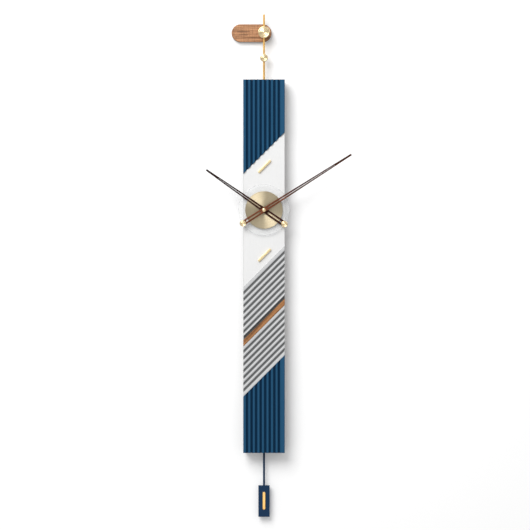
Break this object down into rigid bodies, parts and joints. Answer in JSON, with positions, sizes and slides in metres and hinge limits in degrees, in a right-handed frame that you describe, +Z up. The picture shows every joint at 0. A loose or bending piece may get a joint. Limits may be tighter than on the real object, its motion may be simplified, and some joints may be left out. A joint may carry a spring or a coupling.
{
  "type": "pendulum wall clock",
  "caption": "Tall narrow fluted wall clock that hangs from a brass rod on a capsule wall plate, with long forked hands, a brass disc dial and a short pendulum below.",
  "frame": {"origin": "on the wall, on the back face of the wall plate, behind the middle of the big brass cap that holds the rod", "axes": "+X to the viewer's right, +Z up along the rod, +Y into the wall, so the dial faces -Y"},
  "size_m": [0.2846, 0.045, 0.9829],
  "materials": {
    "walnut": "oiled walnut, fine straight grain",
    "hand_walnut": "dark oiled walnut, cut thin",
    "brass": "spun and satin polished",
    "dial_brass": "spun brass with fine circular brush lines",
    "zinc_steel": "zinc plated steel",
    "stem_brass": "machined brass",
    "backbone_stain": "dark stained fibreboard",
    "blue_lacquer": "satin blue lacquer on fluted fibreboard",
    "white_lacquer": "satin white lacquer on fibreboard",
    "grey_lacquer": "satin light grey lacquer on fluted fibreboard",
    "felt": "pressed wool felt",
    "spacer_wood": "turned hardwood",
    "clear_acrylic": "clear polished acrylic",
    "case_black": "moulded black plastic",
    "gear_white": "moulded acetal",
    "coil_copper": "enamelled copper winding",
    "circuit_green": "solder resist",
    "cell_jacket": "printed steel jacket with no marks",
    "navy_paint": "matt navy paint"
  },
  "bodies": {
    "wall_hanger": {"wall_plate": "walnut", "keyhole_strip": "zinc_steel", "strip_screws": "zinc_steel", "post_stud": "zinc_steel", "hanger_post": "brass", "post_cap": "brass", "upper_rod": "brass", "pivot_pin": "zinc_steel", "pivot_cap": "brass"},
    "clock_body": {"lower_rod": "brass", "rod_insert": "zinc_steel", "backbone_board": "backbone_stain", "top_blue_board": "blue_lacquer", "white_board": "white_lacquer", "upper_grey_board": "grey_lacquer", "walnut_strip": "walnut", "lower_grey_board": "grey_lacquer", "bottom_blue_board": "blue_lacquer", "wall_bumpers": "felt", "hour_markers": "brass", "dial_spacer": "spacer_wood", "acrylic_disc": "clear_acrylic", "dial_disc": "dial_brass", "movement_case": "case_black", "movement_cover": "case_black", "threaded_stem": "stem_brass", "stem_washer": "zinc_steel", "stem_nut": "stem_brass", "centre_wheel": "gear_white", "third_wheel": "gear_white", "rotor": "zinc_steel", "drive_coil": "coil_copper", "stator": "zinc_steel", "movement_board": "circuit_green", "movement_cell": "cell_jacket", "movement_contacts": "zinc_steel", "drive_case": "case_black", "drive_cover": "case_black", "swing_pin": "zinc_steel", "push_coil": "coil_copper", "drive_board": "circuit_green", "drive_cell": "cell_jacket", "drive_contacts": "zinc_steel", "unit_screws": "zinc_steel"},
    "minute_hand": {"minute_hand": "hand_walnut", "minute_tail": "brass", "minute_bush": "brass", "hand_cap": "brass", "minute_arbor": "zinc_steel"},
    "hour_hand": {"hour_hand": "hand_walnut", "hour_tail": "brass", "hour_bush": "brass", "hour_wheel": "gear_white"},
    "hand_setting": {"motion_wheel": "gear_white", "setting_knob": "case_black"},
    "pendulum": {"swing_arm": "case_black", "swing_magnet": "zinc_steel", "pendulum_rod": "navy_paint", "pendulum_bob": "navy_paint", "bob_bar": "brass"}
  },
  "joints": [
    {"name": "body_sway", "type": "hinge", "parent": "wall_hanger", "child": "clock_body", "pos_m": [0, -0.014, -0.0497], "axis": [0, 1, 0], "range_deg": [-5, 5]},
    {"name": "minute_turn", "type": "hinge", "parent": "clock_body", "child": "minute_hand", "pos_m": [0, -0.0305, -0.3472], "axis": [0, 1, 0], "continuous": true},
    {"name": "hour_turn", "type": "hinge", "parent": "clock_body", "child": "hour_hand", "pos_m": [0, -0.0305, -0.3472], "axis": [0, 1, 0], "continuous": true},
    {"name": "setting_turn", "type": "hinge", "parent": "clock_body", "child": "hand_setting", "pos_m": [-0.01039, -0.011, -0.3412], "axis": [0, 1, 0], "continuous": true},
    {"name": "pendulum_swing", "type": "hinge", "parent": "clock_body", "child": "pendulum", "pos_m": [0, -0.0095, -0.766], "axis": [0, 1, 0], "range_deg": [-8, 8]}
  ],
  "couplings": [
    {"joint": "hour_turn", "follows": "minute_turn", "ratio": 0.083333},
    {"joint": "setting_turn", "follows": "minute_turn", "ratio": -0.33333}
  ]
}
